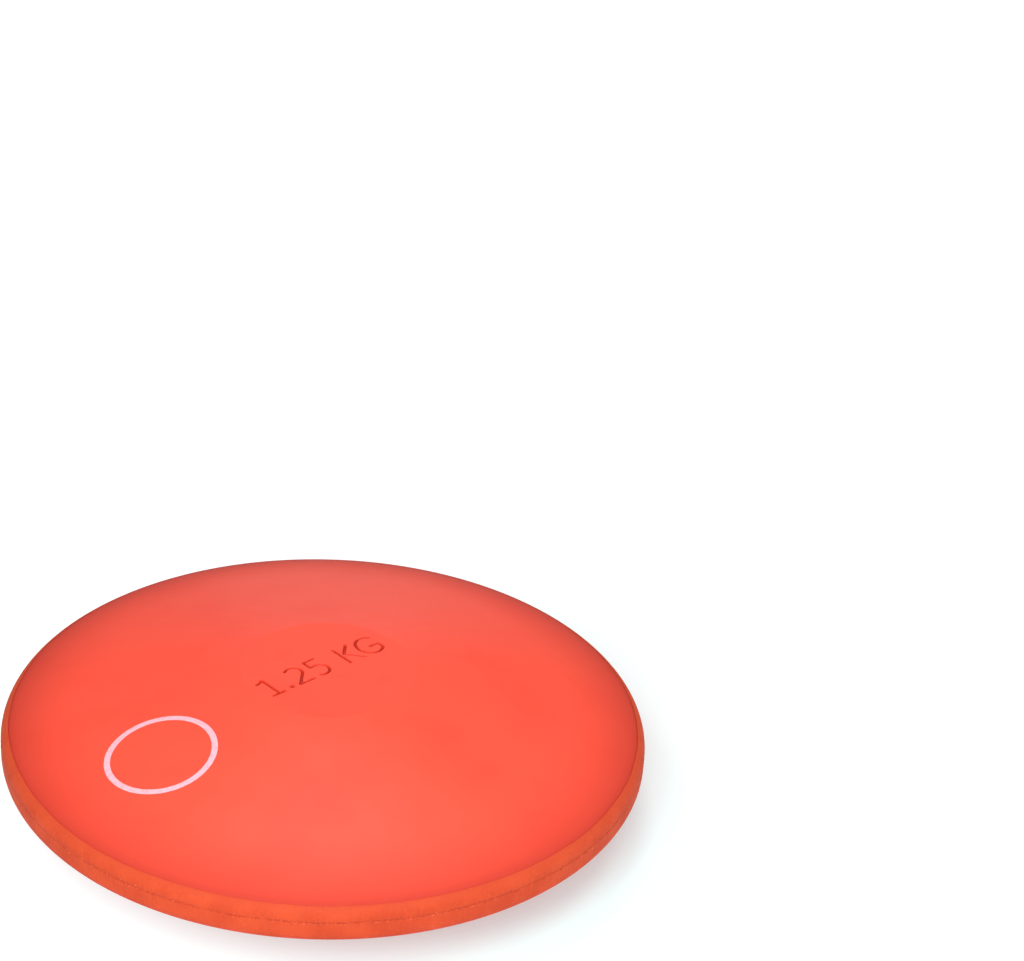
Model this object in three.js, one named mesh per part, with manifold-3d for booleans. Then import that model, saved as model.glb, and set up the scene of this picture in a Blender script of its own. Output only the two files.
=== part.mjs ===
// A solid rubber training discus, lying on the flat of its lower face.
// Millimetres, +Z up along the spin axis, the origin at the middle of the lower flat.
// +X runs along the line of the engraved figures, so the printed ring lies towards -X.

import * as THREE from 'three';
import * as BufferGeometryUtils from 'three/addons/utils/BufferGeometryUtils.js';
import Module from 'manifold-3d';

const wasm = await Module();
wasm.setup();

// The outside of the discus
const discusDiameter = 196;
const centreThickness = 45.5;
const flatDiameter = 53;          // the flat round patch in the middle of each face
const sideStartShare = 0.8;       // slope at the flat's edge, as a share of the side's mean slope
const shoulderWidth = 11;         // the outermost stretch of each face, which turns down faster
const shoulderDrop = 1.2;         // how far that turn takes it below the line of the side
const edgeWallHeight = 3.9;       // the upright middle of the ground edge
const edgeRoundRadius = 4.2;      // the rounding above and below that wall
const edgeBandReach = 2.25;       // how far in the ground band shows from straight above

// The layers inside
const skinThickness = 2;          // coral rubber on each face, measured upright
const bandDepth = 10;             // how far each rim band reaches in from the edge
const bondGap = 0.3;              // the cement line between two layers
const partingThickness = 0.5;     // the cured seam between the two rim bands
const partingRecess = 0.3;        // the trimmed seam lies this far below the ground edge
const partingRiseShare = 0.9;     // how far up the wall's upper half the seam lies

// The ring printed on the upper face
const printDiameter = 33;
const printLineWidth = 1.8;
const printOffsetShare = 0.62;    // of the discus's radius, from the spin axis to the ring's middle
const printThickness = 0.2;
const printGap = 0.1;             // between the ink and the rubber

// How finely the round shapes are cut into flats
const turnSteps = 72;
const sideSteps = 8;
const shoulderSteps = 2;
const edgeRoundSteps = 4;
const printTurnSteps = 48;

// Heights are measured from the middle of the edge, and count away from it in both halves.
const discusRadius = discusDiameter / 2;
const flatRadius = flatDiameter / 2;
const flatHeight = centreThickness / 2;
const skinRadius = discusRadius - edgeBandReach;
const bandInnerRadius = discusRadius - bandDepth;
const wallTop = edgeWallHeight / 2;
const edgeRoundCentre = discusRadius - edgeRoundRadius;
const edgeRoundAngle = Math.acos((skinRadius - edgeRoundCentre) / edgeRoundRadius);
const skinEdgeHeight = wallTop + edgeRoundRadius * Math.sin(edgeRoundAngle);
const partingRise = (wallTop - partingThickness / 2) * partingRiseShare;
const printOffset = discusRadius * printOffsetShare;
const upper = 1;
const lower = -1;

/** Height of a face at a distance from the spin axis: flat, then a crowned side and its shoulder. */
function faceHeight(radius) {
  const along = Math.max(0, (radius - flatRadius) / (skinRadius - flatRadius));
  const sideDrop = flatHeight - skinEdgeHeight - shoulderDrop;
  const side = flatHeight - sideDrop * (sideStartShare * along + (1 - sideStartShare) * along ** 2);
  const turn = Math.max(0, (radius - skinRadius + shoulderWidth) / shoulderWidth);
  return side - shoulderDrop * turn ** 2;
}

/** Evenly spaced values from start to end, both included. */
function spread(start, end, steps) {
  return Array.from({ length: steps + 1 }, (_, step) => start + (end - start) * step / steps);
}

/** Distances from the spin axis at which a face gets a point, from the middle to a last one. */
function faceRadii(lastRadius) {
  const sideEnd = skinRadius - shoulderWidth;
  const shoulder = spread(sideEnd, lastRadius, shoulderSteps).slice(1);
  return [0, ...spread(flatRadius, sideEnd, sideSteps), ...shoulder];
}

/** Points of a face at the given distances from the spin axis, sunk below it by a depth. */
function facePoints(radii, depth) {
  return radii.map((radius) => new THREE.Vector2(radius, faceHeight(radius) - depth));
}

/** A geometry whose triangles share their corners, so that it is one closed skin. */
function closed(geometry) {
  geometry.deleteAttribute('normal');
  geometry.deleteAttribute('uv');
  return BufferGeometryUtils.mergeVertices(geometry);
}

/** Turns an outline of radii and heights round the spin axis, in the upper or the lower half. */
function turned(outline, half) {
  const shape = new THREE.LatheGeometry(outline, turnSteps);
  shape.rotateX(half * Math.PI / 2);
  shape.translate(0, 0, flatHeight);
  return closed(shape);
}

/** A sheet that follows a face, between two depths below it, from the axis to a last radius. */
function sheet(topDepth, bottomDepth, lastRadius, half) {
  const radii = faceRadii(lastRadius);
  const top = facePoints(radii, topDepth).reverse();
  return turned([...facePoints(radii, bottomDepth), ...top], half);
}

/** A round pillar through the whole discus, standing where the ring is printed. */
function printPillar(diameter) {
  const shape = new THREE.CylinderGeometry(
    diameter / 2,
    diameter / 2,
    centreThickness,
    printTurnSteps,
  );
  shape.rotateX(Math.PI / 2);
  shape.translate(-printOffset, 0, flatHeight);
  return solid(closed(shape));
}

/** The geometry as a solid that can be cut. */
function solid(geometry) {
  return new wasm.Manifold(new wasm.Mesh({
    numProp: 3,
    vertProperties: geometry.getAttribute('position').array,
    triVerts: Uint32Array.from(geometry.getIndex().array),
  }));
}

/** The solid as a geometry again. */
function geometryOf(body) {
  const mesh = body.getMesh();
  const geometry = new THREE.BufferGeometry();
  geometry.setAttribute('position', new THREE.BufferAttribute(mesh.vertProperties, mesh.numProp));
  geometry.setIndex(new THREE.BufferAttribute(mesh.triVerts, 1));
  return geometry;
}

/** A named piece in its finish. */
function piece(name, geometry, color, roughness) {
  geometry.computeVertexNormals();
  const finish = new THREE.MeshStandardMaterial({ color, roughness, metalness: 0 });
  const mesh = new THREE.Mesh(geometry, finish);
  mesh.name = name;
  return mesh;
}

/** The coral rubber sheet of one face, from the spin axis to the rim band. */
function faceSkin(name, half) {
  const shape = sheet(0, skinThickness, skinRadius - bondGap, half);
  return piece(name, shape, 0xff5a45, 0.5);
}

/** A ground rim band: its lip is the rounded edge, and its foot runs in under the face skin. */
function rimBand(name, half) {
  const seamHeight = partingThickness / 2 + half * partingRise;
  const edge = spread(0, edgeRoundAngle, edgeRoundSteps).map((angle) => new THREE.Vector2(
    edgeRoundCentre + edgeRoundRadius * Math.cos(angle),
    wallTop + edgeRoundRadius * Math.sin(angle),
  ));
  const footRadii = spread(skinRadius, bandInnerRadius, shoulderSteps);
  const outline = [
    new THREE.Vector2(bandInnerRadius, seamHeight),
    new THREE.Vector2(discusRadius, seamHeight),
    ...edge,
    ...facePoints(footRadii, skinThickness + bondGap),
    new THREE.Vector2(bandInnerRadius, seamHeight),
  ];
  return piece(name, turned(outline, half), 0xe65f35, 0.85);
}

/** The seam that joins the two rim bands, seen from outside as the dark parting line. */
function partingSeam() {
  const seamRadius = discusRadius - partingRecess;
  const bottom = partingRise - partingThickness / 2;
  const top = partingRise + partingThickness / 2;
  const outline = [
    new THREE.Vector2(bandInnerRadius, bottom),
    new THREE.Vector2(seamRadius, bottom),
    new THREE.Vector2(seamRadius, top),
    new THREE.Vector2(bandInnerRadius, top),
    new THREE.Vector2(bandInnerRadius, bottom),
  ];
  return piece('parting_seam', turned(outline, upper), 0x8c3a22, 0.9);
}

/** The heavy filled-rubber body that the skins and bands are cured onto. */
function core() {
  const radii = [0, ...spread(flatRadius, bandInnerRadius - bondGap, sideSteps)];
  const face = facePoints(radii, skinThickness + bondGap);
  const underside = face.map((point) => new THREE.Vector2(point.x, -point.y));
  return piece('core', turned([...underside, ...face.reverse()], upper), 0xb4533a, 0.8);
}

/** The thin ring of pale ink on the upper face. */
function printedRing() {
  const film = solid(sheet(-printGap - printThickness, -printGap, skinRadius, upper));
  const ring = printPillar(printDiameter).subtract(printPillar(printDiameter - 2 * printLineWidth));
  return piece('printed_ring', geometryOf(film.intersect(ring)), 0xfad2d5, 0.6);
}

const discus = new THREE.Group();
discus.add(
  faceSkin('upper_face', upper),
  faceSkin('lower_face', lower),
  rimBand('upper_rim_band', upper),
  rimBand('lower_rim_band', lower),
  partingSeam(),
  core(),
  printedRing(),
);

export default discus;
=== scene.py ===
"""A solid rubber training discus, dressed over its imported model.

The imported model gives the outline. Here each rubber part is made again with the surface that the eye
sees: crowned faces with an engraved weight, a ground edge whose borders wander, a torn parting line with
its crumbs, and a ring of ink that follows the face. Lengths are in metres.
"""

import logging
import math
from dataclasses import dataclass, field, fields
from enum import Enum
from typing import Any, Union

import bpy
import numpy as np
from bpy.types import Material, Mesh, Node, NodeSocket, NodeTree, Object
from mathutils import Matrix, Vector, geometry


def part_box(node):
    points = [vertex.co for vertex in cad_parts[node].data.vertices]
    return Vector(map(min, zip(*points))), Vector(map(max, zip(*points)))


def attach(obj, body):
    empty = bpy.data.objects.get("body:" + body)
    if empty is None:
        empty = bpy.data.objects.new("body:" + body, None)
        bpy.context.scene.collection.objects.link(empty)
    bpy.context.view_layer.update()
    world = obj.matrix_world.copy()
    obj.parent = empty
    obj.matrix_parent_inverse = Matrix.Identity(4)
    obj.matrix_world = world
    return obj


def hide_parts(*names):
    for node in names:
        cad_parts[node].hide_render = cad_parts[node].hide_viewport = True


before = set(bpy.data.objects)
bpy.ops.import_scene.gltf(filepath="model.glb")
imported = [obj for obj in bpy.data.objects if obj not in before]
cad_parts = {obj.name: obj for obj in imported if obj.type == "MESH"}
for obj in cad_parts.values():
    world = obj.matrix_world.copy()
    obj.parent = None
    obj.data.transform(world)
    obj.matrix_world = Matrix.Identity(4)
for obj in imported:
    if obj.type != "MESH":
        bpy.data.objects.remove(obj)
log = logging.getLogger("discus")

MM = 0.001
WIDTH_PX = 1024
HEIGHT_PX = 961
FRONT_AZIMUTH = -38.45                     # degrees; the side of the discus that is taken as its front
QUICK_WANDER = 0.35                        # the short waves of the coral's border over its long ones
SLOW_RAG = 1.3                             # the long waves of the torn line over its short ones


class Half(Enum):
    """The two halves of the discus, as the sign of their heights above the middle of the edge."""

    UPPER = 1
    LOWER = -1


class Slot(Enum):
    """The record's material slots of the pieces that are made here."""

    FACE = "coral_rubber"
    EDGE = "ground_rubber"
    SEAM = "seam_rubber"
    INK = "print_ink"


class Mark(Enum):
    """What the faces and bands note at each point, from 0 to 1, for their finish to read."""

    GROOVE = "groove_depth"
    TURNED = "turned_down"
    LIP = "near_border"
    TORN = "near_parting_line"


def add_node(tree: NodeTree, kind: str, links: dict[str | int, Any] | None = None,
             **settings: Any) -> Node:
    """Adds a node with its settings and links.

    Args:
        tree: the tree that it goes into.
        kind: the node's type.
        links: for each input, by name or number, a plain value, or the node, socket or Field it comes from.
        settings: the node's own properties.

    Returns:
        The node.
    """
    node = tree.nodes.new(kind)
    for name, value in settings.items():
        setattr(node, name, value)
    for name, value in (links or {}).items():
        socket = node.inputs[name]
        if isinstance(name, str):
            socket = next(one for one in node.inputs if one.name == name and one.enabled)
        if isinstance(value, Node):
            value = next(one for one in value.outputs if one.enabled)
        if isinstance(value, Field):
            value = value.socket
        if isinstance(value, NodeSocket):
            tree.links.new(value, socket)
        else:
            socket.default_value = value
    return node


class Field:
    """A number that a node tree works out for each point, with the usual signs of arithmetic."""

    def __init__(self, node: Node, output: str | int = 0) -> None:
        """Takes the number from one of a node's outputs."""
        self.tree = node.id_data
        self.socket = node.outputs[output]

    def __add__(self, other: "Number") -> "Field":
        """This number plus another."""
        return Field(add_node(self.tree, "ShaderNodeMath", {0: self, 1: other}, operation="ADD"))

    def __sub__(self, other: "Number") -> "Field":
        """This number less another."""
        return Field(add_node(self.tree, "ShaderNodeMath", {0: self, 1: other}, operation="SUBTRACT"))

    def __rsub__(self, other: float) -> "Field":
        """A plain number less this one."""
        return Field(add_node(self.tree, "ShaderNodeMath", {0: other, 1: self}, operation="SUBTRACT"))

    def __mul__(self, other: "Number") -> "Field":
        """This number times another."""
        return Field(add_node(self.tree, "ShaderNodeMath", {0: self, 1: other}, operation="MULTIPLY"))

    def __truediv__(self, other: "Number") -> "Field":
        """This number over another."""
        return Field(add_node(self.tree, "ShaderNodeMath", {0: self, 1: other}, operation="DIVIDE"))

    def __pow__(self, other: float) -> "Field":
        """This number to a power."""
        return Field(add_node(self.tree, "ShaderNodeMath", {0: self, 1: other}, operation="POWER"))

    __radd__ = __add__
    __rmul__ = __mul__


Number = Union[float, Field]


def above_zero(value: Number, blend: Number = 0.0) -> Number:
    """A value where it is above zero, and nothing below, with a soft turn between the two."""
    return (value + (value * value + blend * blend) ** 0.5) * 0.5


def linear(colour: str) -> tuple[float, float, float, float]:
    """Turns an sRGB colour into the linear one that shaders take.

    Args:
        colour: the colour as #RRGGBB.

    Returns:
        Red, green, blue and a full alpha.
    """
    shares = [int(colour[i:i + 2], 16) / 255 for i in (1, 3, 5)]
    return (*[c / 12.92 if c <= 0.04045 else ((c + 0.055) / 1.055) ** 2.4 for c in shares], 1.0)


def cleared(owner: Material | bpy.types.World) -> NodeTree:
    """Readies a material or the world for its own nodes.

    Args:
        owner: the material or the world.

    Returns:
        Its node tree, empty.
    """
    owner.use_nodes = True
    owner.node_tree.nodes.clear()
    return owner.node_tree


def added(name: str, data: bpy.types.ID) -> Object:
    """Adds an object to the scene.

    Args:
        name: the object's name.
        data: its mesh, lamp or camera.

    Returns:
        The object.
    """
    thing = bpy.data.objects.new(name, data)
    bpy.context.scene.collection.objects.link(thing)
    return thing


Source = Union[Node, NodeSocket, Field]
Range = tuple[float, float]


@dataclass
class Patterns:
    """What a finish lays over its plain colour."""

    tones: list[tuple[Source, str]]        # how much of each shows over the ones before, and its colour
    relief: Source
    depth: float                           # how deep the relief is
    dullness: Field                        # how the roughness wavers, about a half


@dataclass(frozen=True)
class Finish:
    """What every finish has: its name, its colours and how it throws light back."""

    name: str
    colour: str
    deep_colour: str
    roughness: float
    roughness_spread: float = 0.06
    ior: float = 1.52                      # rubber; lower where the photograph shows less gloss

    def material(self) -> Material:
        """Gives the material, which is made the first time that it is asked for."""
        return bpy.data.materials.get(self.name) or self.make()

    def make(self) -> Material:
        """Makes the material.

        Returns:
            The material, with its patterns on the shader's inputs.
        """
        material = bpy.data.materials.new(self.name)
        tree = cleared(material)
        patterns = self.patterns(tree, add_node(tree, "ShaderNodeTexCoord").outputs["Object"])
        colour = linear(self.colour)
        for share, tone in patterns.tones:
            colour = add_node(tree, "ShaderNodeMix", {"Factor": share, "A": colour, "B": linear(tone)},
                              data_type="RGBA")
        bump = add_node(tree, "ShaderNodeBump", {"Height": patterns.relief, "Distance": patterns.depth})
        shader = add_node(tree, "ShaderNodeBsdfPrincipled", {
            "Base Color": colour, "IOR": self.ior, "Normal": bump,
            "Roughness": (patterns.dullness - 0.5) * self.roughness_spread + self.roughness})
        add_node(tree, "ShaderNodeOutputMaterial", {"Surface": shader})
        return material

    def patterns(self, tree: NodeTree, where: NodeSocket) -> Patterns:
        """Makes the finish's patterns.

        Args:
            tree: the material's tree.
            where: the object coordinates that they are read at.

        Returns:
            The patterns.
        """
        raise NotImplementedError


@dataclass(frozen=True)
class MouldedRubber(Finish):
    """Filled rubber as it comes from a polished steel mould.

    To the eye: an even saturated coral with a soft dull gloss, the faintest clouds from the flow of the
    rubber and a scuffed middle, with painted shade that deepens the colour in the figures and where the face
    turns down to its border. A range gives the noise where a pattern begins to show and where it is full.
    """

    # painted shade: the colour darkens where the face turns down, most in the crease at the border
    turned_colour: str = "#C43522"
    turned_dullness: float = 0.3           # how much rougher hands and floors have left it there
    # painted shade in the engraved figures, darkest at the grooves' bottoms
    groove_colour: str = "#B42C1A"
    groove_share: float = 0.9              # how much of that painted shade is in the bottom of a figure
    cloud_size: float = 26 * MM
    cloud_range: Range = (0.4, 0.75)
    scuff_colour: str = "#D9452F"
    scuff_size: float = 9 * MM
    scuff_range: Range = (0.5, 0.8)
    scuff_share: float = 0.35
    scuff_reach: Range = (21.6 * MM, 27 * MM)   # from the spin axis, where the scuffs thin out and end
    speck_colour: str = "#D04A34"
    speck_size: float = 1.1 * MM
    speck_range: Range = (0.83, 0.87)
    speck_share: float = 0.4
    pore_size: float = 0.55 * MM           # real pores are finer, and wouldn't show
    pore_depth: float = 0.010 * MM
    wave_size: float = 8 * MM
    wave_depth: float = 0.02 * MM

    def patterns(self, tree: NodeTree, where: NodeSocket) -> Patterns:
        """Makes the finish's patterns.

        Args:
            tree: the material's tree.
            where: the object coordinates that they are read at.

        Returns:
            The patterns.
        """
        clouds, specks, scuffs, waves, pores = (
            add_node(tree, "ShaderNodeTexNoise", {"Vector": where, "Scale": 1 / size, "Detail": detail})
            for size, detail in ((self.cloud_size, 3.0), (self.speck_size, 0.0), (self.scuff_size, 4.0),
                                 (self.wave_size, 2.0), (self.pore_size, 1.0)))
        flat = add_node(tree, "ShaderNodeVectorMath", {0: where, 1: (1.0, 1.0, 0.0)}, operation="MULTIPLY")
        reach = add_node(tree, "ShaderNodeVectorMath", {0: flat}, operation="LENGTH").outputs["Value"]
        cloudy, specked, scuffed, middle = (
            Field(add_node(tree, "ShaderNodeMapRange", {
                "Value": value, "From Min": ends[0], "From Max": ends[1], "To Min": first, "To Max": last},
                interpolation_type="SMOOTHSTEP"))
            for value, ends, first, last in ((clouds, self.cloud_range, 0.0, 1.0),
                                             (specks, self.speck_range, 0.0, self.speck_share),
                                             (scuffs, self.scuff_range, 0.0, 1.0),
                                             (reach, self.scuff_reach, self.scuff_share, 0.0)))
        turned, groove = (Field(add_node(tree, "ShaderNodeAttribute", attribute_name=mark.value), "Fac")
                          for mark in (Mark.TURNED, Mark.GROOVE))
        # painted shade: the turned tone where the face turns down, the groove tone in the figures
        return Patterns(
            tones=[(cloudy, self.deep_colour), (specked, self.speck_colour),
                   (scuffed * middle, self.scuff_colour), (turned, self.turned_colour),
                   (groove * self.groove_share, self.groove_colour)],
            relief=Field(pores) + Field(waves) * (self.wave_depth / self.pore_depth), depth=self.pore_depth,
            dullness=Field(waves) + turned * (self.turned_dullness / self.roughness_spread))


@dataclass(frozen=True)
class GroundRubber(Finish):
    """The same rubber where a stone has ground the flash off the edge.

    To the eye: a drier, more orange rubber with no gloss, faint upright scratches, painted shade on the lip
    under the coral, light and dark crumbs along the parting line, and traces of coral low on the edge, where
    the stone just reached. A range gives the value where a pattern begins to show and where it is full.
    """

    worn_range: Range = (0.42, 0.8)
    # painted shade on the band just under the coral's border
    lip_colour: str = "#CC4826"
    lip_share: float = 0.7
    streak_size: float = 0.8 * MM          # real scratches are finer, and wouldn't show
    streak_length: float = 8.0             # over their size
    streak_weight: float = 0.3             # how much the scratches count in the wear
    scratch_depth: float = 0.010 * MM
    patch_size: float = 9 * MM
    patch_weight: float = 0.9
    crumb_size: float = 0.7 * MM
    crumb_pull: float = 0.12               # how much thicker the crumbs are at the parting line
    crumb_colour: str = "#F07850"
    crumb_range: Range = (0.68, 0.76)
    crumb_share: float = 0.45
    dark_colour: str = "#B83F1C"
    dark_range: Range = (0.34, 0.26)
    dark_share: float = 0.8
    coral_colour: str = "#E84A38"
    coral_range: Range = (19.6 * MM, 17.2 * MM)   # heights above the floor
    coral_share: float = 0.85
    coral_stray: float = 4.0 * MM

    def patterns(self, tree: NodeTree, where: NodeSocket) -> Patterns:
        """Makes the finish's patterns.

        Args:
            tree: the material's tree.
            where: the object coordinates that they are read at.

        Returns:
            The patterns.
        """
        fine = 1 / self.streak_size
        upright = add_node(tree, "ShaderNodeMapping", {
            "Vector": where, "Scale": (fine, fine, fine / self.streak_length)})
        streaks, patches, crumbs = (
            Field(add_node(tree, "ShaderNodeTexNoise", {"Vector": place, "Scale": scale, "Detail": detail}))
            for place, scale, detail in ((upright, 1.0, 2.0), (where, 1 / self.patch_size, 3.0),
                                         (where, 1 / self.crumb_size, 2.0)))
        lip, torn = (Field(add_node(tree, "ShaderNodeAttribute", attribute_name=mark.value), "Fac")
                     for mark in (Mark.LIP, Mark.TORN))
        height = Field(add_node(tree, "ShaderNodeSeparateXYZ", {0: where}), "Z")
        wear = streaks * self.streak_weight + patches * self.patch_weight
        worn, low, pale, dark = (
            add_node(tree, "ShaderNodeMapRange", {
                "Value": value, "From Min": ends[0], "From Max": ends[1], "To Max": share},
                interpolation_type="SMOOTHSTEP")
            for value, ends, share in (
                (wear, self.worn_range, 1.0),
                (height + (patches - 0.5) * self.coral_stray, self.coral_range, self.coral_share),
                (crumbs + torn * self.crumb_pull, self.crumb_range, self.crumb_share),
                (crumbs - torn * self.crumb_pull, self.dark_range, self.dark_share)))
        return Patterns(
            tones=[(worn, self.deep_colour), (low, self.coral_colour),
                   (lip * self.lip_share, self.lip_colour), (pale, self.crumb_colour),
                   (dark, self.dark_colour)],
            relief=streaks, depth=self.scratch_depth, dullness=patches)


@dataclass(frozen=True)
class CoarseFinish(Finish):
    """A finish with one pattern: its deep colour shows, and its relief rises, where the noise says.

    A range gives the noise where the deep colour begins to show and where it is full.
    """

    grain: float = 1.0 * MM
    depth: float = 0.01 * MM
    deep_range: Range = (0.45, 0.8)

    def patterns(self, tree: NodeTree, where: NodeSocket) -> Patterns:
        """Makes the finish's patterns.

        Args:
            tree: the material's tree.
            where: the object coordinates that they are read at.

        Returns:
            The patterns.
        """
        noise = add_node(tree, "ShaderNodeTexNoise", {
            "Vector": where, "Scale": 1 / self.grain, "Detail": 3.0})
        deep = add_node(tree, "ShaderNodeMapRange", {
            "Value": noise, "From Min": self.deep_range[0], "From Max": self.deep_range[1]},
            interpolation_type="SMOOTHSTEP")
        return Patterns([(deep, self.deep_colour)], relief=noise, depth=self.depth, dullness=Field(noise))


@dataclass(frozen=True)
class BareRubber(CoarseFinish):
    """Filled rubber without a skin: torn where the mould's halves met, or hidden inside the discus.

    To the eye: dark and crumbly, with no gloss.
    """

    grain: float = 0.8 * MM
    depth: float = 0.15 * MM
    deep_range: Range = (0.75, 0.3)


@dataclass(frozen=True)
class ScreenInk(CoarseFinish):
    """Flexible ink, screen printed on the rubber.

    To the eye: a thin pale film, slightly glossier than the rubber, that lets a little of it through.
    """

    grain: float = 1.1 * MM


CORAL = MouldedRubber("moulded_coral_rubber", "#FE523B", "#FB4D37", roughness=0.42, ior=1.4)
EDGE = GroundRubber("ground_orange_rubber", "#D54D26", "#C84320", roughness=0.72, ior=1.35)
FLASH = BareRubber("torn_rubber_flash", "#DA4B22", "#B63816", roughness=0.85)
FILLED = BareRubber("filled_rubber_body", "#D9572C", "#A8401F", roughness=0.8, grain=2.0 * MM)
INK = ScreenInk("screen_printed_ink", "#FBB8C6", "#F69F9F", roughness=0.42)


@dataclass(frozen=True)
class DiscusSizes:
    """The sizes that the pieces share, as numbers or as the inputs of a node tree.

    Heights count from the middle of the edge.
    """

    radius: Number
    flat_height: Number
    flat_radius: Number = 26.5 * MM
    flat_blend: Number = 0.5 * MM          # how softly the flat turns into the side
    side_start_share: Number = 0.8         # slope at the flat's edge over the side's mean slope
    shoulder_width: Number = 11.0 * MM
    shoulder_drop: Number = 1.2 * MM
    wall_top: Number = 1.95 * MM           # half the upright wall of the ground edge
    edge_round: Number = 4.2 * MM
    band_reach: Number = 2.25 * MM         # the ground band seen from straight above
    band_depth: Number = 10.0 * MM
    skin_thickness: Number = 2.0 * MM
    bond_gap: Number = 0.3 * MM
    border_wander: Number = 0.9 * MM       # how far the border of coral and ground rubber strays
    border_gap: Number = 0.05 * MM
    lip_width: Number = 0.9 * MM           # the coral dips beside the border
    lip_dip: Number = 0.35 * MM
    burr: Number = 0.25 * MM               # rounding of the ground band's own edges
    seam_height: Number = 1.53 * MM
    seam_half: Number = 0.10 * MM          # half the parting line, on the average
    seam_rag: Number = 0.8 * MM
    seam_recess: Number = 0.08 * MM
    hair: Number = 0.02 * MM               # the least that is left of the parting line

    @classmethod
    def from_frame(cls) -> "DiscusSizes":
        """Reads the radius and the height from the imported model."""
        low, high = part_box("upper_rim_band")
        return cls(radius=(high.x - low.x) / 2, flat_height=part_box("upper_face")[1].z / 2)

    @property
    def skin_radius(self) -> Number:
        """Where the coral ends and the ground band begins, on the average."""
        return self.radius - self.band_reach

    @property
    def inner_radius(self) -> Number:
        """How far in the ground bands and the parting line reach."""
        return self.radius - self.band_depth

    def edge_height(self, radius: Number) -> Number:
        """Height of the rounded edge at a distance from the spin axis."""
        inward = radius - self.radius + self.edge_round
        return self.wall_top + (self.edge_round * self.edge_round - inward * inward) ** 0.5

    def edge_radius(self, height: Number) -> Number:
        """Distance of the ground edge from the spin axis at a height."""
        past = above_zero(height - self.wall_top)
        return self.radius - self.edge_round + (self.edge_round * self.edge_round - past * past) ** 0.5

    def face_height(self, radius: Number) -> Number:
        """Height of a face: flat, then a crowned side that turns down at its shoulder.

        Args:
            radius: the distance from the spin axis.

        Returns:
            The height above the middle of the edge.
        """
        rim_height = self.edge_height(self.skin_radius)
        width = self.skin_radius - self.flat_radius
        share = above_zero(radius - self.flat_radius, self.flat_blend) / width
        bend = share * self.side_start_share + share * share * (1.0 - self.side_start_share)
        side = self.flat_height - (self.flat_height - rim_height - self.shoulder_drop) * bend
        past = above_zero(radius - self.skin_radius + self.shoulder_width, self.flat_blend)
        turn = past / self.shoulder_width
        return side - self.shoulder_drop * turn * turn


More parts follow.
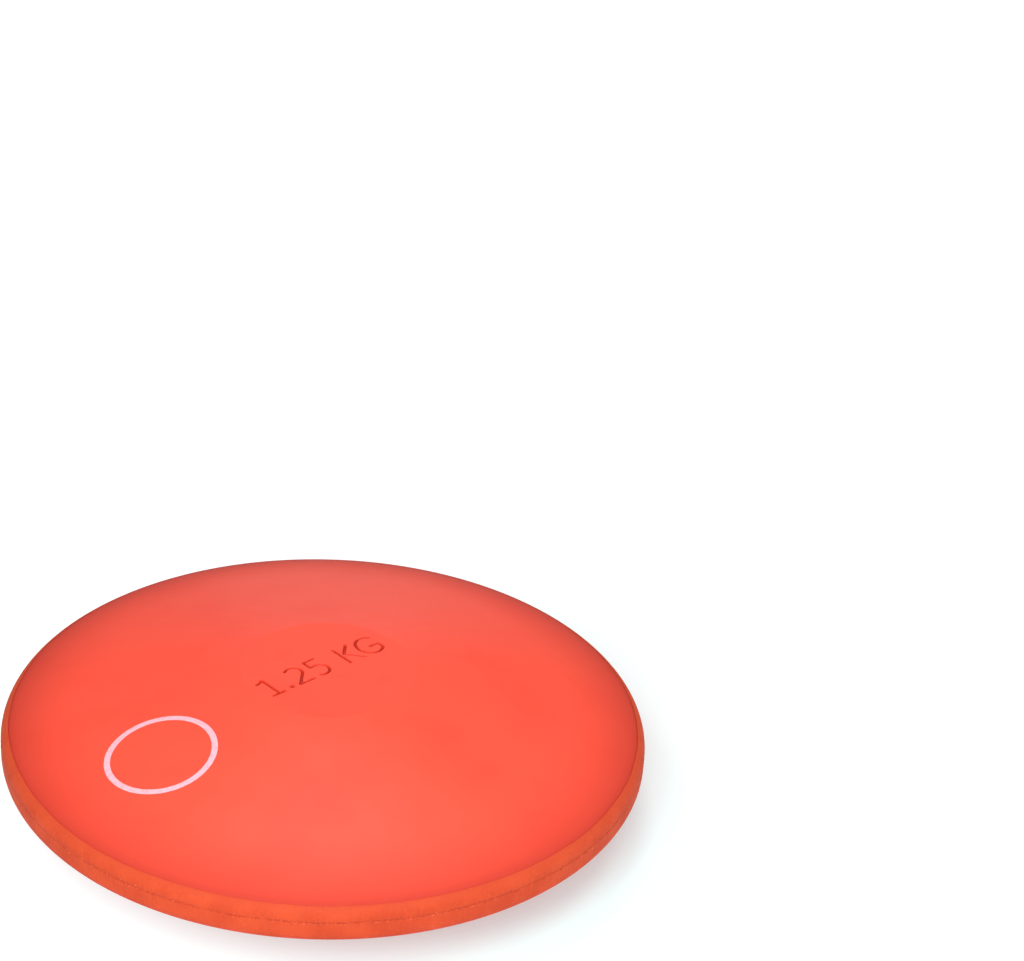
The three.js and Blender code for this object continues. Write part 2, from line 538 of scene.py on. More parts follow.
class Turning:
    """A node tree that makes a closed rubber part by sweeping its section round the spin axis.

    Each stretch of the section is swept by itself, outwards on top, down, and back below. In a stretch,
    along goes from 0 to 1, and x and y are the direction from the spin axis, which turns the other way for
    the lower half.
    """

    MERGE = 0.002 * MM                     # points closer than this are one
    CREASE = math.radians(38)              # a fold sharper than this shows as an edge

    def __init__(self, name: str, sizes: DiscusSizes, turn_steps: int, half: Half = Half.UPPER,
                 **more: float) -> None:
        """Starts the tree, with a named input for each size.

        Args:
            name: the part's name.
            sizes: the shared sizes, as numbers.
            turn_steps: how many faces lie in a turn.
            half: which half the part belongs to.
            more: the part's own sizes.
        """
        self.name = name
        self.turn_steps = turn_steps
        self.half = half
        self.tree = bpy.data.node_groups.new(name, "GeometryNodeTree")
        self.inputs = {size.name: getattr(sizes, size.name) for size in fields(sizes)} | more
        sockets = self.tree.interface
        sockets.new_socket("Geometry", in_out="OUTPUT", socket_type="NodeSocketGeometry")
        sockets.new_socket("Geometry", in_out="INPUT", socket_type="NodeSocketGeometry")
        for label in self.inputs:
            sockets.new_socket(label, in_out="INPUT", socket_type="NodeSocketFloat")
        self.source = add_node(self.tree, "NodeGroupInput")
        self.own = {label: Field(self.source, label) for label in more}
        self.sizes = DiscusSizes(**{size.name: Field(self.source, size.name) for size in fields(sizes)})

        place = add_node(self.tree, "ShaderNodeSeparateXYZ",
                         {0: add_node(self.tree, "GeometryNodeInputPosition")})
        self.from_x = Field(place, "X")
        self.from_y = Field(place, "Y")
        self.along = self.from_x + 0.5
        angle = (self.from_y + 0.5) * math.tau
        self.x, self.y = (Field(add_node(self.tree, "ShaderNodeMath", {0: angle}, operation=wave)) * side
                          for wave, side in (("COSINE", 1.0), ("SINE", float(half.value))))
        self.parts: list[Node] = []

    def stray(self, waves: float, seed: float, detail: float = 2.0) -> Field:
        """Makes a wave that goes round the edge and closes on itself.

        Args:
            waves: about how many waves there are in a turn.
            seed: picks the wave.
            detail: how much finer structure it has.

        Returns:
            A number between about -0.5 and 0.5.
        """
        reach = waves / math.tau
        place = add_node(self.tree, "ShaderNodeCombineXYZ", {0: self.x * reach, 1: self.y * reach, 2: seed})
        wave = add_node(self.tree, "ShaderNodeTexNoise", {"Vector": place, "Scale": 1.0, "Detail": detail})
        return Field(wave) - 0.5

    def stretch(self, steps: int, radius: Number, height: Number,
                marks: dict[Mark, Field] | None = None) -> None:
        """Sweeps one stretch of the section round the spin axis.

        Args:
            steps: how many faces lie along the stretch.
            radius: the distance from the spin axis.
            height: the height above the middle of the edge, in the part's own half.
            marks: what the stretch notes for its finish.
        """
        self.lay(self.sheet(steps), self.x * radius, self.y * radius, height, marks)

    def sheet(self, steps: int) -> Node:
        """Makes the blank sheet that a stretch is bent from, so many faces along it."""
        return add_node(self.tree, "GeometryNodeMeshGrid", {
            "Size X": 1.0, "Size Y": 1.0, "Vertices X": steps + 1, "Vertices Y": self.turn_steps + 1})

    def lay(self, mesh: Node, x: Number, y: Number, height: Number,
            marks: dict[Mark, Field] | None = None) -> None:
        """Puts the points of a mesh in their places and adds it to the part.

        Args:
            mesh: the node that gives the mesh first.
            x: the place along x.
            y: the place along y.
            height: the height above the middle of the edge, in the part's own half.
            marks: what the mesh notes for its finish.
        """
        for mark, value in (marks or {}).items():
            mesh = add_node(self.tree, "GeometryNodeStoreNamedAttribute", {
                "Geometry": mesh, "Name": mark.value, "Value": value})
        lifted = height * float(self.half.value) + self.sizes.flat_height
        point = add_node(self.tree, "ShaderNodeCombineXYZ", {0: x, 1: y, 2: lifted})
        self.parts.append(add_node(self.tree, "GeometryNodeSetPosition", {
            "Geometry": mesh, "Position": point}))

    def make(self, node: str, slot: Slot, finish: Finish, start: Mesh | None = None) -> None:
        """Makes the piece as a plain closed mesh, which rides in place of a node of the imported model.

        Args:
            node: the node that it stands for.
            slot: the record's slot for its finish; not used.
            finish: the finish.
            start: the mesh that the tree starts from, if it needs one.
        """
        joined = add_node(self.tree, "GeometryNodeJoinGeometry")
        for part in self.parts:
            self.tree.links.new(part.outputs[0], joined.inputs[0])
        made = joined
        for kind, links in (("GeometryNodeMergeByDistance", {"Distance": self.MERGE}),
                            ("GeometryNodeSetShadeSmooth", {}), ("GeometryNodeRealizeInstances", {}),
                            ("GeometryNodeSetMaterial", {"Material": finish.material()})):
            made = add_node(self.tree, kind, {"Geometry": made, **links})
        add_node(self.tree, "NodeGroupOutput", {0: made})

        blank = added(self.name + "_blank", start or bpy.data.meshes.new("blank"))
        modifier = blank.modifiers.new("turning", "NODES")
        modifier.node_group = self.tree
        for socket in self.tree.interface.items_tree:
            if socket.in_out == "INPUT" and socket.name in self.inputs:
                modifier[socket.identifier] = self.inputs[socket.name]
        graph = bpy.context.evaluated_depsgraph_get()
        mesh = bpy.data.meshes.new_from_object(blank.evaluated_get(graph), depsgraph=graph)
        bpy.data.objects.remove(blank)
        mesh.name = self.name
        mesh.set_sharp_from_angle(angle=self.CREASE)
        piece = added(self.name, mesh)
        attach(piece, "root")
        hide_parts(node)
        log.info("%s: %d faces, in place of %s", self.name, len(mesh.polygons), node)


def border_radius(turning: Turning, half: Half) -> Field:
    """Gives the radius of the line between coral and ground rubber, which strays round the edge.

    Args:
        turning: the part that needs it.
        half: the half whose border it is.

    Returns:
        The radius in each direction.
    """
    slow = turning.stray(waves=13, seed=10.0 + half.value, detail=3.0)
    quick = turning.stray(waves=85, seed=20.0 + half.value)
    return turning.sizes.skin_radius + turning.sizes.border_wander * (slow + quick * QUICK_WANDER)


def torn_thickness(turning: Turning, half: Half) -> Field:
    """Gives how far the parting line reaches above or below its middle.

    Args:
        turning: the part that needs it.
        half: the side of the line.

    Returns:
        The ragged thickness in each direction, never less than a hair.
    """
    quick = turning.stray(waves=520, seed=30.0 + half.value)
    slow = turning.stray(waves=46, seed=40.0 + half.value, detail=3.0)
    torn = turning.sizes.seam_half + turning.sizes.seam_rag * (quick + slow * SLOW_RAG)
    return Field(add_node(turning.tree, "ShaderNodeMath", {0: torn, 1: turning.sizes.hair},
                          operation="MAXIMUM"))


Path = list[tuple[float, float]]
BOW_STEP = 12                              # degrees between the points of a bowed stroke


def bow(centre: tuple[float, float], across: float, up: float, start: float, end: float) -> Path:
    """Makes a bowed stroke as part of an ellipse.

    Args:
        centre: the ellipse's centre.
        across: half its width.
        up: half its height.
        start: the angle where the stroke starts, in degrees.
        end: the angle where it ends.

    Returns:
        Points along the stroke.
    """
    steps = round(abs(end - start) / BOW_STEP)
    angles = [math.radians(start + (end - start) * i / steps) for i in range(steps + 1)]
    return [(centre[0] + across * math.cos(a), centre[1] + up * math.sin(a)) for a in angles]


@dataclass
class EngravedWeight:
    """The weight in plain figures, pressed into the flat middle by the mould.

    A stroke is drawn in shares of the capitals' height, from the foot of its own character.
    """

    capital: float = 8.75 * MM             # height of a capital, between the middles of its strokes
    left: float = -22.75 * MM              # where the line of writing starts
    foot: float = -2.80 * MM
    turn: float = math.radians(2.6)        # how the line of writing is turned
    depth: float = 1.0 * MM
    floor_half: float = 0.25 * MM          # half the groove's floor
    mouth_half: float = 0.56 * MM          # half the groove's mouth
    starts: tuple[float, ...] = (0.0, 0.92, 1.24, 2.1, 3.51, 4.27)   # where each character starts

    def strokes(self) -> list[Path]:
        """Draws every stroke.

        Returns:
            The strokes as points in metres, from the spin axis.
        """
        one = [[(0.33, 0.0), (0.33, 1.02), (0.24, 0.93), (0.02, 0.87)], [(0.06, 0.0), (0.56, 0.0)]]
        point = [[(-0.03, 0.03), (0.05, 0.03), (0.05, 0.1), (-0.03, 0.1), (-0.03, 0.03)]]
        two = [bow((0.27, 0.7), 0.31, 0.31, 135, -38) + [(0.0, 0.0), (0.63, 0.0)]]
        five = [[(0.52, 0.99), (0.07, 0.99), (0.07, 0.6)] + bow((0.27, 0.3), 0.33, 0.32, 95, -125)]
        k = [[(0.0, 0.0), (0.0, 1.0)], [(0.58, 0.99), (0.16, 0.57), (0.66, -0.03)]]
        g = [bow((0.48, 0.475), 0.47, 0.52, 47, 312) + [(0.82, 0.1), (0.82, 0.4), (0.45, 0.4)]]
        along, up = math.cos(self.turn), math.sin(self.turn)
        drawn = []
        for start, character in zip(self.starts, (one, point, two, five, k, g)):
            for path in character:
                points = [((start + x) * self.capital, y * self.capital) for x, y in path]
                drawn.append([(self.left + x * along - y * up, self.foot + x * up + y * along)
                              for x, y in points])
        return drawn

    def guide(self) -> Object:
        """Makes the strokes' middle lines as an object that a node tree can measure from.

        Returns:
            The object, which is only a help and is removed after use.
        """
        points, edges = [], []
        for path in self.strokes():
            edges += [(len(points) + i, len(points) + i + 1) for i in range(len(path) - 1)]
            points += [(x, y, 0.0) for x, y in path]
        mesh = bpy.data.meshes.new("stroke_lines")
        mesh.from_pydata(points, edges, [])
        return added("stroke_lines", mesh)

    def nearness(self, points: np.ndarray) -> np.ndarray:
        """Measures how far points are from the nearest stroke.

        Args:
            points: rows of x and y.

        Returns:
            One distance for each row.
        """
        near = np.full(len(points), np.inf)
        for path in self.strokes():
            for start, end in zip(np.array(path[:-1]), np.array(path[1:])):
                run = end - start
                share = np.clip((points - start) @ run / (run @ run), 0, 1)
                near = np.minimum(near, np.linalg.norm(points - start - share[:, None] * run, axis=1))
        return near


@dataclass
class RubberFace:
    """A coral face of the discus: flat middle with the weight in it, crowned side, lip and underside."""

    INSIDE_RIM = 1                         # keeps only the triangles inside the plate's rim
    SAME_POINT = 1e-9                      # points of the plate closer than this are one

    sizes: DiscusSizes
    half: Half
    finish: Finish = CORAL
    weight: EngravedWeight = field(default_factory=EngravedWeight)
    turn_steps: int = 384
    blend_steps: int = 22                  # faces along each stretch, from the plate outwards and back
    side_steps: int = 40
    lip_steps: int = 16
    cut_steps: int = 2
    under_steps: int = 24
    plate_radius: float = 25.0 * MM        # the part of the flat that is meshed finely for the weight
    fine_step: float = 0.14 * MM
    coarse_step: float = 1.4 * MM
    fillet: float = 4.0 * MM               # how far past the flat's edge the close faces go
    lip_reach: float = 3.0 * MM            # how far in from the border the lip's faces begin
    turned_width: float = 25.0 * MM        # over how much of the side the painted shade deepens towards the border
    turned_power: float = 1.7              # how late on the way it deepens
    turned_share: float = 0.85             # how much of it has come before the crease beside the border
    # width of the painted shade in the crease beside the border
    crease_width: float = 3.5 * MM

    def plate(self) -> Mesh:
        """Meshes the flat middle, finely only where the strokes are.

        Returns:
            A flat mesh of triangles, at height zero.
        """
        reach = self.weight.mouth_half + 2 * self.fine_step
        fine = self.lattice(self.fine_step)
        fine = fine[self.weight.nearness(fine) < reach]
        coarse = self.lattice(self.coarse_step)
        coarse = coarse[self.weight.nearness(coarse) > reach + self.fine_step]
        angles = np.arange(self.turn_steps) * math.tau / self.turn_steps
        rim = np.column_stack([np.cos(angles), np.sin(angles)]) * self.plate_radius
        loop = [(i, (i + 1) % self.turn_steps) for i in range(self.turn_steps)]
        points = [Vector(p) for p in np.vstack([rim, fine, coarse])]
        made = geometry.delaunay_2d_cdt(points, loop, [], self.INSIDE_RIM, self.SAME_POINT)
        mesh = bpy.data.meshes.new("plate")
        mesh.from_pydata([(p.x, p.y, 0.0) for p in made[0]], [], made[2])
        if mesh.polygons[0].normal.z < 0:
            mesh.flip_normals()
        return mesh

    def lattice(self, step: float) -> np.ndarray:
        """Spreads points in a close pattern over the plate, clear of its rim.

        Args:
            step: how far apart the points are.

        Returns:
            Rows of x and y.
        """
        count = math.ceil(self.plate_radius / step)
        columns, rows = np.meshgrid(np.arange(-count, count + 1), np.arange(-2 * count, 2 * count + 1))
        row_step = step * math.sin(math.radians(60))
        points = np.column_stack([(columns + rows % 2 / 2).ravel() * step, rows.ravel() * row_step])
        return points[np.linalg.norm(points, axis=1) < self.plate_radius - step / 2]

    def build(self) -> None:
        """Builds the face in its place."""
        weight = self.weight
        turning = Turning(f"coral_face_{self.half.name.lower()}", self.sizes, self.turn_steps, self.half,
                          depth=weight.depth, floor_half=weight.floor_half, mouth_half=weight.mouth_half)
        guide = weight.guide()
        self.press_weight(turning, guide)
        self.sweep_side(turning)
        turning.make(f"{self.half.name.lower()}_face", Slot.FACE, self.finish, self.plate())
        bpy.data.objects.remove(guide)

    def press_weight(self, turning: Turning, guide: Object) -> None:
        """Lays the flat middle, with a groove along each stroke.

        Args:
            turning: the face's tree.
            guide: the strokes' middle lines.
        """
        tree, sizes, own = turning.tree, turning.sizes, turning.own
        lines = add_node(tree, "GeometryNodeObjectInfo", {"Object": guide})
        near = add_node(tree, "GeometryNodeProximity", {0: lines.outputs["Geometry"]},
                        target_element="EDGES")
        groove = Field(add_node(tree, "ShaderNodeMapRange", {
            "Value": near.outputs["Distance"], "From Min": own["floor_half"], "From Max": own["mouth_half"],
            "To Min": 1.0, "To Max": 0.0}, interpolation_type="SMOOTHSTEP"))
        x, y = turning.from_x, turning.from_y
        from_axis = (x * x + y * y) ** 0.5
        turning.lay(turning.source, x, y * float(self.half.value),
                    sizes.face_height(from_axis) - groove * own["depth"], {Mark.GROOVE: groove})

    def sweep_side(self, turning: Turning) -> None:
        """Sweeps the rest of the face: the flat's edge, the side, the lip, the cut edge and the underside.

        Args:
            turning: the face's tree.
        """
        sizes, along = turning.sizes, turning.along
        border = border_radius(turning, self.half) - sizes.border_gap
        fillet_end = sizes.flat_radius + self.fillet
        lip_start = sizes.skin_radius - self.lip_reach

        inner = self.plate_radius + (fillet_end - self.plate_radius) * along
        turning.stretch(self.blend_steps, inner, sizes.face_height(inner))
        side = fillet_end + (lip_start - fillet_end) * along
        turning.stretch(self.side_steps, side, sizes.face_height(side),
                        {Mark.TURNED: self.turned(side, border)})
        rest = 1.0 - along
        lip = border - (border - lip_start) * rest * rest
        dip = above_zero(1.0 - (border - lip) / sizes.lip_width)
        turning.stretch(self.lip_steps, lip, sizes.face_height(lip) - sizes.lip_dip * dip * dip,
                        {Mark.TURNED: self.turned(lip, border)})
        cut = sizes.skin_thickness - sizes.lip_dip
        turning.stretch(self.cut_steps, border, sizes.face_height(border) - sizes.lip_dip - cut * along)
        under = border * rest
        turning.stretch(self.under_steps, under, sizes.face_height(under) - sizes.skin_thickness)

    def turned(self, radius: Field, border: Field) -> Field:
        """Gives how far the face has turned down on its way to the border, which its finish paints as shade.

        Args:
            radius: the distance from the spin axis.
            border: the same for the border, in each direction.

        Returns:
            A number from 0 to 1.
        """
        share = above_zero(1.0 - (border - radius) / self.turned_width)
        crease = above_zero(1.0 - (border - radius) / self.crease_width)
        return share ** self.turned_power * self.turned_share + crease * crease * (1.0 - self.turned_share)


@dataclass
class GroundBand:
    """The ground edge above or below the parting line, with the foot that holds it under the coral."""

    sizes: DiscusSizes
    half: Half
    finish: Finish = EDGE
    turn_steps: int = 1440
    wall_steps: int = 18                   # faces up the edge, and then along the hidden sides
    bottom_steps: int = 2
    foot_steps: int = 3
    lip_width: float = 2.2 * MM            # the lip under the coral, darkened as painted shade
    torn_width: float = 0.9 * MM           # how far from the parting line its crumbs lie

    def build(self) -> None:
        """Builds the band in its place."""
        turning = Turning(f"ground_band_{self.half.name.lower()}", self.sizes, self.turn_steps, self.half)
        sizes, along = turning.sizes, turning.along
        top = sizes.edge_height(border_radius(turning, self.half))
        bottom = sizes.seam_height * float(self.half.value) + torn_thickness(turning, self.half)
        swing = Field(add_node(turning.tree, "ShaderNodeMath", {0: along * math.pi}, operation="COSINE"))
        height = top + (bottom - top) * ((1.0 - swing) * 0.5)
        to_edge = Field(add_node(turning.tree, "ShaderNodeMath", {0: top - height, 1: height - bottom},
                                 operation="MINIMUM"))
        worn = above_zero(1.0 - to_edge / sizes.burr)
        rounding = sizes.burr * 0.5
        turning.stretch(self.wall_steps, sizes.edge_radius(height) - rounding * worn * worn, height,
                        {Mark.LIP: above_zero(1.0 - (top - height) / self.lip_width),
                         Mark.TORN: above_zero(1.0 - (height - bottom) / self.torn_width)})

        inner = sizes.inner_radius
        lower_rim = sizes.edge_radius(bottom) - rounding
        turning.stretch(self.bottom_steps, lower_rim + (inner - lower_rim) * along, bottom)
        under = sizes.skin_thickness + sizes.bond_gap
        turning.stretch(1, inner, bottom + (sizes.face_height(inner) - under - bottom) * along)
        upper_rim = sizes.edge_radius(top) - rounding
        foot = inner + (upper_rim - inner) * along
        turning.stretch(self.foot_steps, foot, sizes.face_height(foot) - under)
        step = sizes.face_height(upper_rim) - under
        turning.stretch(1, upper_rim, step + (top - step) * along)
        turning.make(f"{self.half.name.lower()}_rim_band", Slot.EDGE, self.finish)


@dataclass
class PartingLine:
    """The thin torn strip between the two ground bands, with the crumbs that the stone left on it."""

    sizes: DiscusSizes
    finish: Finish = FLASH
    turn_steps: int = 1440
    rim_steps: int = 2                     # faces up the strip's rim
    crumbs: int = 900
    crumb_radius: float = 0.16 * MM
    crumb_flatness: float = 0.7            # a crumb's height over its width
    crumb_stray: float = 0.45 * MM         # how far above or below the line the crumbs are thrown
    crumb_return: float = 0.5              # how much of that way the furthest ones come back
    least_size: float = 0.4                # of a crumb, over the largest
    seed: int = 7

    def build(self) -> None:
        """Builds the strip in its place."""
        turning = Turning("parting_line", self.sizes, self.turn_steps,
                          crumb_radius=self.crumb_radius, crumb_stray=self.crumb_stray)
        sizes, along = turning.sizes, turning.along
        inner = sizes.inner_radius
        outer = sizes.radius - sizes.seam_recess * (turning.stray(waves=300, seed=50.0) + 1.0)
        high = sizes.seam_height + torn_thickness(turning, Half.UPPER)
        low = sizes.seam_height - torn_thickness(turning, Half.LOWER)
        turning.stretch(1, inner + (outer - inner) * along, high)
        turning.stretch(self.rim_steps, outer, high + (low - high) * along)
        turning.stretch(1, outer + (inner - outer) * along, low)
        turning.stretch(1, inner, low + (high - low) * along)
        self.scatter(turning)
        turning.make("parting_seam", Slot.SEAM, self.finish)

    def scatter(self, turning: Turning) -> None:
        """Scatters the crumbs along the line.

        Args:
            turning: the strip's tree.
        """
        tree, sizes, own = turning.tree, turning.sizes, turning.own
        turn, aside, size = (
            Field(add_node(tree, "FunctionNodeRandomValue", {"Min": least, "Max": most, "Seed": seed}), 1)
            for seed, (least, most) in enumerate(
                ((0.0, math.tau), (-1.0, 1.0), (self.least_size, 1.0)), start=self.seed))
        x, y = (Field(add_node(tree, "ShaderNodeMath", {0: turn}, operation=wave))
                for wave in ("COSINE", "SINE"))
        drift = own["crumb_stray"] * aside * (1.0 - aside * aside * self.crumb_return)
        height = sizes.seam_height + drift + sizes.flat_height
        place = add_node(tree, "ShaderNodeCombineXYZ", {0: x * sizes.radius, 1: y * sizes.radius, 2: height})
        points = add_node(tree, "GeometryNodePoints", {"Count": self.crumbs, "Position": place})
        crumb = add_node(tree, "GeometryNodeMeshIcoSphere", {
            "Radius": own["crumb_radius"], "Subdivisions": 1})
        spread = add_node(tree, "ShaderNodeCombineXYZ", {0: size, 1: size, 2: size * self.crumb_flatness})
        turning.parts.append(add_node(tree, "GeometryNodeInstanceOnPoints", {
            "Points": points, "Instance": crumb, "Scale": spread}))


@dataclass
class InkRing:
    """The printed ring, a film of ink that follows the crowned face."""

    sizes: DiscusSizes
    offset: float                          # from the spin axis to the ring's centre, towards -x
    outer_radius: float
    finish: Finish = INK
    line_width: float = 1.8 * MM
    film: float = 0.1 * MM
    clear: float = 0.02 * MM               # between the film and the rubber
    uneven: float = 0.16 * MM              # how much the ring's borders stray
    edge_share: float = 0.7                # the film's thickness at its borders
    turn_steps: int = 240
    across_steps: int = 6                  # faces across the film, above and below

    @classmethod
    def from_frame(cls, sizes: DiscusSizes) -> "InkRing":
        """Reads the ring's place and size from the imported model."""
        low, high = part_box("printed_ring")
        return cls(sizes, offset=-(low.x + high.x) / 2, outer_radius=(high.y - low.y) / 2)

    def build(self) -> None:
        """Builds the ring in its place."""
        turning = Turning("printed_ring_ink", self.sizes, self.turn_steps, offset=self.offset,
                          outer_radius=self.outer_radius, line_width=self.line_width, film=self.film,
                          clear=self.clear, uneven=self.uneven)
        along = turning.along
        middle = along * 2.0 - 1.0
        arch = 1.0 - middle * middle * middle * middle * (1.0 - self.edge_share)
        self.lap(turning, self.across_steps, along, arch)
        self.lap(turning, 1, 1.0, self.edge_share - along * self.edge_share)
        self.lap(turning, self.across_steps, 1.0 - along, 0.0)
        self.lap(turning, 1, 0.0, along * self.edge_share)
        turning.make("printed_ring", Slot.INK, self.finish)

    def lap(self, turning: Turning, steps: int, across: Number, thick: Number) -> None:
        """Sweeps one side of the film round the ring.

        Args:
            turning: the ring's tree.
            steps: how many faces lie across the side.
            across: where the side is on the ring's width, from 0 inside to 1 outside.
            thick: how high it is in the film, from 0 below to 1 on top.
        """
        own = turning.own
        inner = own["outer_radius"] - own["line_width"] + turning.stray(waves=70, seed=60.0) * own["uneven"]
        radius = inner + own["line_width"] * across
        x, y = turning.x * radius - own["offset"], turning.y * radius
        height = turning.sizes.face_height((x * x + y * y) ** 0.5) + own["clear"] + own["film"] * thick
        turning.lay(turning.sheet(steps), x, y, height)


@dataclass
class Core:
    """The filled body inside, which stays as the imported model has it."""

    node: str = "core"
    finish: Finish = FILLED

    def dress(self) -> None:
        """Gives the body its rubber."""
        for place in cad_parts[self.node].material_slots:
            place.material = self.finish.material()
        log.info("%s: stays, in filled rubber", self.node)


def direction(azimuth: float, elevation: float) -> Vector:
    """Gives the direction from the discus to a place round it.

    Args:
        azimuth: degrees, 0 at -y and 90 at +x.
        elevation: degrees above the floor.

    Returns:
        A direction of length 1.
    """
    turn, rise = math.radians(azimuth), math.radians(elevation)
    return Vector((math.sin(turn) * math.cos(rise), -math.cos(turn) * math.cos(rise), math.sin(rise)))


@dataclass
class Lamp:
    """A soft square lamp that faces the discus and that the camera can't see."""

    name: str
    azimuth: float                         # degrees, 0 at -y and 90 at +x
    elevation: float
    level: float                           # how bright it alone shows a white surface that faces it
    width: float = 0.5
    distance: float = 1.4

    def hang(self, aim: Vector) -> None:
        """Hangs the lamp.

        Args:
            aim: the point that it faces.
        """
        data = bpy.data.lights.new(self.name, "AREA")
        data.size = self.width
        data.energy = self.level * math.pi ** 2 * self.distance ** 2
        lamp = added(self.name, data)
        towards = direction(self.azimuth, self.elevation)
        lamp.location = aim + towards * self.distance
        lamp.rotation_euler = towards.to_track_quat("Z", "Y").to_euler()
        lamp.visible_camera = False
        log.info("%s: level %.2f", self.name, self.level)


@dataclass
class Camera:
    """The camera, where the photograph was taken from: in front and above, looking at the edge too."""

    azimuth: float = FRONT_AZIMUTH
    elevation: float = 33.47
    roll: float = 1.63
    distance: float = 0.8536               # to the middle of the discus
    focal_px: float = 2764.4
    middle_px: tuple[float, float] = (325.5, 731.1)   # where the middle of the discus shows

    def place(self, middle: Vector) -> None:
        """Places the camera.

        Args:
            middle: the middle of the discus.
        """
        back = direction(self.azimuth, self.elevation)
        turn = math.radians(self.azimuth)
        right = Vector((math.cos(turn), math.sin(turn), 0.0))
        level = Matrix((right, back.cross(right), back)).transposed()
        roll = Matrix.Rotation(math.radians(self.roll), 3, back)
        seen = Vector(((self.middle_px[0] - WIDTH_PX / 2) / self.focal_px,
                       (HEIGHT_PX / 2 - self.middle_px[1]) / self.focal_px, -1.0)).normalized()
        aside = Vector((0.0, 0.0, -1.0)).rotation_difference(seen).to_matrix()
        data = bpy.data.cameras.new("camera")
        data.sensor_fit = "HORIZONTAL"
        data.sensor_width = 36.0
        data.lens = self.focal_px * data.sensor_width / WIDTH_PX
        data.clip_start = 0.01
        camera = added("camera", data)
        turned = roll @ level @ aside.transposed()
        camera.matrix_world = Matrix.Translation(middle + back * self.distance) @ turned.to_4x4()
        bpy.context.scene.camera = camera


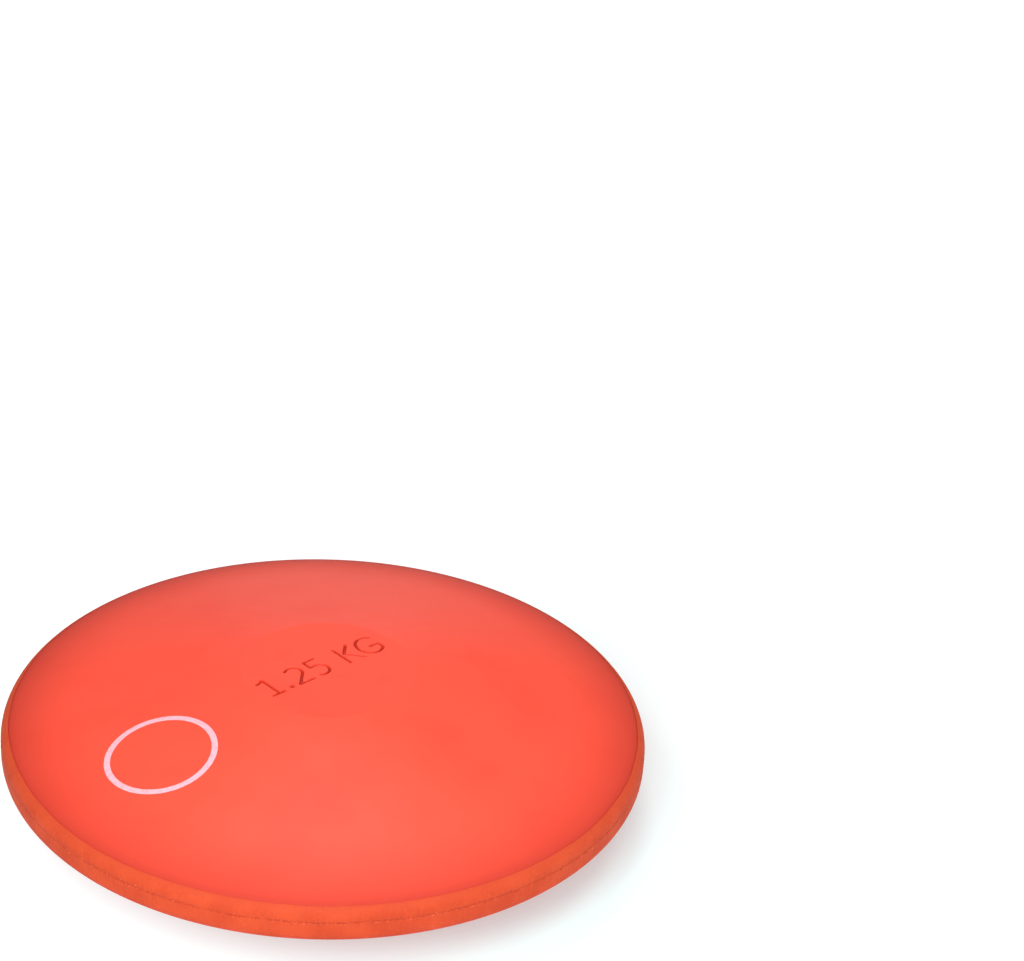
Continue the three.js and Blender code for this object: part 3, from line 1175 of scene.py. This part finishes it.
@dataclass
class Studio:
    """The pale floor, the soft light and the camera."""

    middle: Vector
    camera: Camera = field(default_factory=Camera)
    floor_size: float = 6.0
    floor_colour: str = "#F2F2F2"          # what the floor throws on the discus
    shadow_colour: str = "#F5FFFF"         # evens out the coral that the discus throws on the floor
    front_colour: str = "#CEFFFF"          # the same in front of the discus, which throws more there
    behind: float = -0.04                  # where that begins, from the spin axis towards the front
    in_front: float = 0.09                 # and where it is full
    shadow_share: float = 0.65             # how much of the shadow the floor shows beside the discus
    glow: float = 1.2                      # keeps the floor white to the camera where no shadow falls
    shadow_middle: tuple[float, float, float] = (0.039, 0.001, 0.0)   # where it lies on the floor
    shadow_full: float = 0.085             # how far from its middle the shadow begins to fade
    shadow_end: float = 0.16               # how far from it the shadow is gone
    sky_level: float = 0.25                # the even light from all round
    lamps: tuple[Lamp, ...] = (
        Lamp("front_lamp", azimuth=-47.0, elevation=42.0, level=0.85, width=0.3, distance=0.57),
        Lamp("overhead_lamp", azimuth=141.0, elevation=75.0, level=0.19, width=0.4),
        Lamp("right_lamp", azimuth=51.0, elevation=70.0, level=0.1, width=0.4),
        Lamp("left_lamp", azimuth=-129.0, elevation=58.0, level=0.05, width=0.4),
        Lamp("low_right_lamp", azimuth=46.0, elevation=14.0, level=0.24),
        Lamp("low_back_lamp", azimuth=141.0, elevation=17.0, level=0.03),
        Lamp("low_left_lamp", azimuth=-120.0, elevation=12.0, level=0.07),
    )

    def build(self) -> None:
        """Builds the floor, the sky, the lamps and the camera."""
        bpy.context.scene.view_settings.view_transform = "Standard"
        self.lay_floor()
        self.light_sky()
        for lamp in self.lamps:
            lamp.hang(self.middle)
        self.camera.place(self.middle)

    def lay_floor(self) -> None:
        """Lays a plain floor that the camera sees as white, with the shadow on it."""
        half = self.floor_size / 2
        corners = [(-half, -half, 0.0), (half, -half, 0.0), (half, half, 0.0), (-half, half, 0.0)]
        mesh = bpy.data.meshes.new("floor")
        mesh.from_pydata(corners, [], [(0, 1, 2, 3)])
        material = bpy.data.materials.new("white_sweep")
        mesh.materials.append(material)
        tree = cleared(material)
        plain = add_node(tree, "ShaderNodeBsdfDiffuse", {"Color": linear(self.floor_colour)})
        place = add_node(tree, "ShaderNodeTexCoord").outputs["Object"]
        nearer = add_node(tree, "ShaderNodeVectorMath", {0: place, 1: direction(FRONT_AZIMUTH, 0.0)},
                          operation="DOT_PRODUCT")
        ahead = add_node(tree, "ShaderNodeMapRange", {
            "Value": nearer.outputs["Value"], "From Min": self.behind, "From Max": self.in_front})
        evened = add_node(tree, "ShaderNodeMix", {
            "Factor": ahead, "A": linear(self.shadow_colour), "B": linear(self.front_colour)},
            data_type="RGBA")
        shadow = add_node(tree, "ShaderNodeBsdfDiffuse", {"Color": evened})
        glow = add_node(tree, "ShaderNodeEmission", {"Color": linear("#FFFFFF"), "Strength": self.glow})
        reach = add_node(tree, "ShaderNodeVectorMath", {0: place, 1: self.shadow_middle},
                         operation="DISTANCE")
        share = add_node(tree, "ShaderNodeMapRange", {
            "Value": reach.outputs["Value"], "From Min": self.shadow_full, "From Max": self.shadow_end,
            "To Min": self.shadow_share, "To Max": 0.0}, interpolation_type="SMOOTHSTEP")
        shown = add_node(tree, "ShaderNodeMixShader", {0: share, 1: glow, 2: shadow})
        to_camera = add_node(tree, "ShaderNodeLightPath").outputs["Is Camera Ray"]
        mixed = add_node(tree, "ShaderNodeMixShader", {0: to_camera, 1: plain, 2: shown})
        add_node(tree, "ShaderNodeOutputMaterial", {"Surface": mixed})
        added("floor", mesh)

    def light_sky(self) -> None:
        """Lights the discus evenly from all round."""
        world = bpy.data.worlds.new("studio")
        bpy.context.scene.world = world
        tree = cleared(world)
        sky, seen = (add_node(tree, "ShaderNodeBackground", {"Color": linear("#FFFFFF"), "Strength": level})
                     for level in (self.sky_level, 1.0))
        to_camera = add_node(tree, "ShaderNodeLightPath").outputs["Is Camera Ray"]
        mixed = add_node(tree, "ShaderNodeMixShader", {0: to_camera, 1: sky, 2: seen})
        add_node(tree, "ShaderNodeOutputWorld", {"Surface": mixed})


def main() -> None:
    """Builds the discus and its studio."""
    logging.basicConfig(level=logging.INFO, format="%(relativeCreated)6d ms  %(message)s")
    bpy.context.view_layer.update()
    sizes = DiscusSizes.from_frame()
    Studio(Vector((0.0, 0.0, sizes.flat_height))).build()
    for half in Half:
        RubberFace(sizes, half).build()
        GroundBand(sizes, half).build()
    PartingLine(sizes).build()
    InkRing.from_frame(sizes).build()
    Core().dress()


if __name__ == "__main__":
    main()
